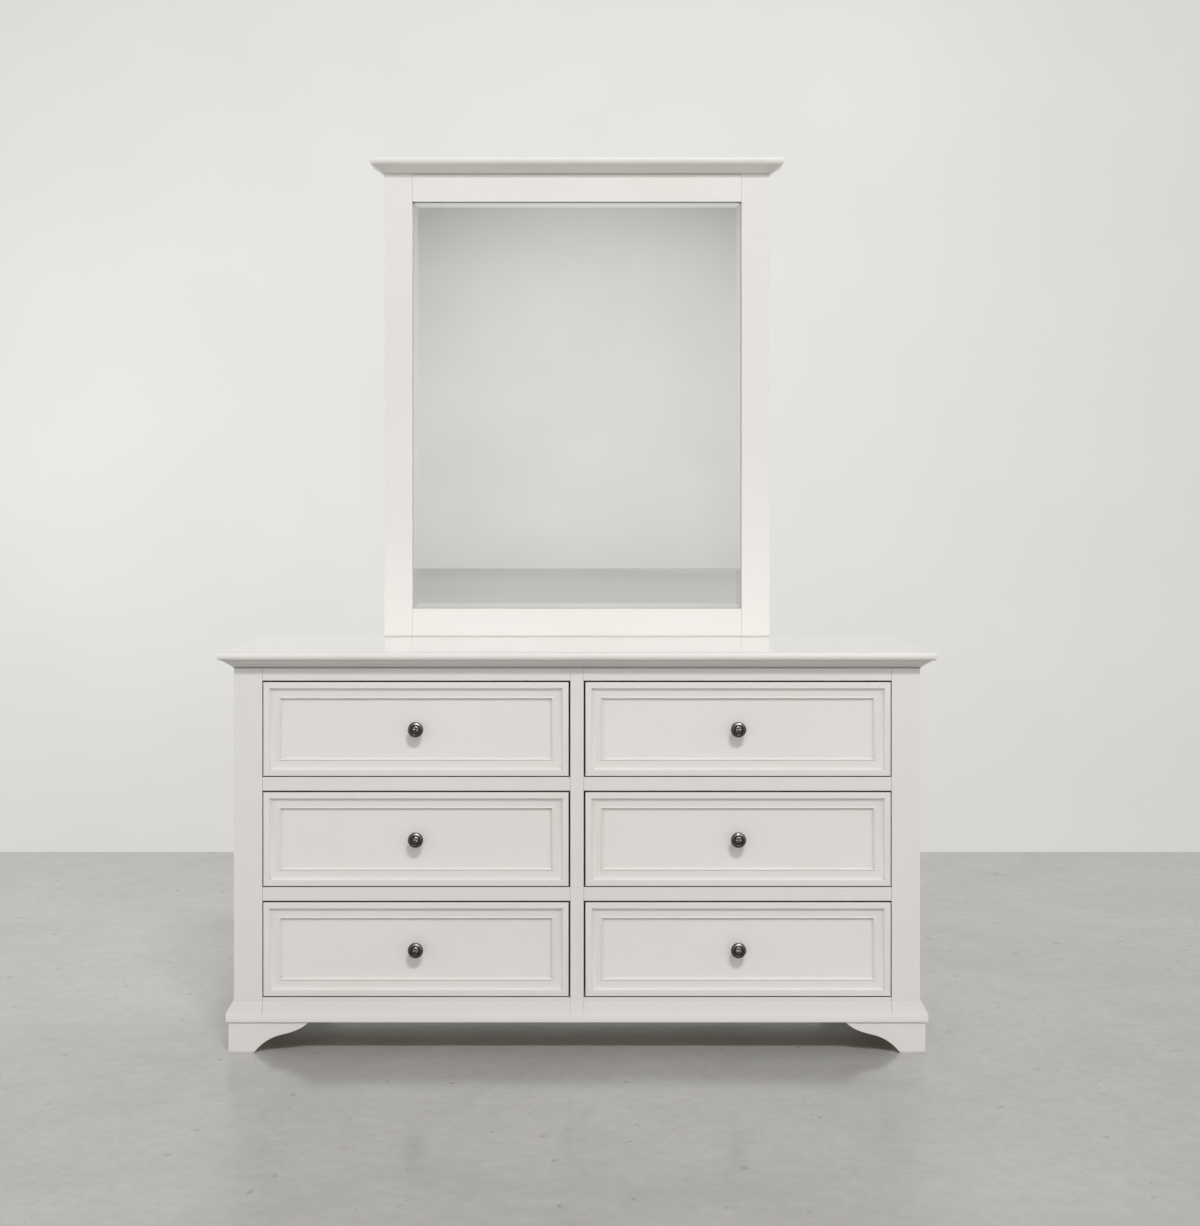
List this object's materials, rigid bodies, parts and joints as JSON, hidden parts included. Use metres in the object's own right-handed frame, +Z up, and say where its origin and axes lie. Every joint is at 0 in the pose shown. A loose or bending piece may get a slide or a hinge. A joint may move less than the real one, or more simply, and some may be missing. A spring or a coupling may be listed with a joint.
{
  "type": "dresser with mirror",
  "caption": "Free-standing painted dresser with two columns of moulded inset drawers, ogee bracket feet, and a framed bevelled mirror standing on its top.",
  "frame": {"origin": "on the floor, under the middle of the whole piece (dresser, mirror and rear battens)", "axes": "+Z up, drawers open towards -Y, +X to the right as seen from the front"},
  "size_m": [1.5, 0.458, 1.9511],
  "materials": {
    "painted_wood": "satin",
    "drawer_box_wood": "matte",
    "inner_wood": "matte",
    "backing_board": "matte",
    "knob_metal": "satin",
    "mirror_silver": "polished"
  },
  "bodies": {
    "case": {"back_panel": "backing_board", "back_rail": "inner_wood", "base_moulding": "painted_wood", "bottom_panel": "inner_wood", "bottom_rail_left": "painted_wood", "bottom_rail_right": "painted_wood", "centre_partition": "inner_wood", "centre_stile": "painted_wood", "foot_front_left": "painted_wood", "foot_front_right": "painted_wood", "foot_rear_left": "painted_wood", "foot_rear_right": "painted_wood", "front_stile_left": "painted_wood", "front_stile_right": "painted_wood", "lower_rail_left": "painted_wood", "lower_rail_right": "painted_wood", "mirror_backing": "backing_board", "mirror_bottom_rail": "painted_wood", "mirror_crown": "painted_wood", "mirror_glass": "mirror_silver", "mirror_stile_left": "painted_wood", "mirror_stile_right": "painted_wood", "mirror_support_left": "inner_wood", "mirror_support_right": "inner_wood", "mirror_top_rail": "painted_wood", "runner_frame_bottom_left": "inner_wood", "runner_frame_bottom_right": "inner_wood", "runner_frame_middle_left": "inner_wood", "runner_frame_middle_right": "inner_wood", "runner_frame_top_left": "inner_wood", "runner_frame_top_right": "inner_wood", "side_panel_left": "painted_wood", "side_panel_right": "painted_wood", "top_moulding": "painted_wood", "top_panel": "painted_wood", "top_rail_left": "painted_wood", "top_rail_right": "painted_wood", "upper_rail_left": "painted_wood", "upper_rail_right": "painted_wood"},
    "drawer_bottom_left": {"drawer_front_bottom_left": "painted_wood", "drawer_box_bottom_left": "drawer_box_wood", "knob_bottom_left": "knob_metal"},
    "drawer_bottom_right": {"drawer_front_bottom_right": "painted_wood", "drawer_box_bottom_right": "drawer_box_wood", "knob_bottom_right": "knob_metal"},
    "drawer_middle_left": {"drawer_front_middle_left": "painted_wood", "drawer_box_middle_left": "drawer_box_wood", "knob_middle_left": "knob_metal"},
    "drawer_middle_right": {"drawer_front_middle_right": "painted_wood", "drawer_box_middle_right": "drawer_box_wood", "knob_middle_right": "knob_metal"},
    "drawer_top_left": {"drawer_front_top_left": "painted_wood", "drawer_box_top_left": "drawer_box_wood", "knob_top_left": "knob_metal"},
    "drawer_top_right": {"drawer_front_top_right": "painted_wood", "drawer_box_top_right": "drawer_box_wood", "knob_top_right": "knob_metal"}
  },
  "joints": [
    {"name": "slide_bottom_left", "type": "slide", "parent": "case", "child": "drawer_bottom_left", "axis": [0, -1, 0], "range_m": [0, 0.3]},
    {"name": "slide_bottom_right", "type": "slide", "parent": "case", "child": "drawer_bottom_right", "axis": [0, -1, 0], "range_m": [0, 0.3]},
    {"name": "slide_middle_left", "type": "slide", "parent": "case", "child": "drawer_middle_left", "axis": [0, -1, 0], "range_m": [0, 0.3]},
    {"name": "slide_middle_right", "type": "slide", "parent": "case", "child": "drawer_middle_right", "axis": [0, -1, 0], "range_m": [0, 0.3]},
    {"name": "slide_top_left", "type": "slide", "parent": "case", "child": "drawer_top_left", "axis": [0, -1, 0], "range_m": [0, 0.3]},
    {"name": "slide_top_right", "type": "slide", "parent": "case", "child": "drawer_top_right", "axis": [0, -1, 0], "range_m": [0, 0.3]}
  ]
}
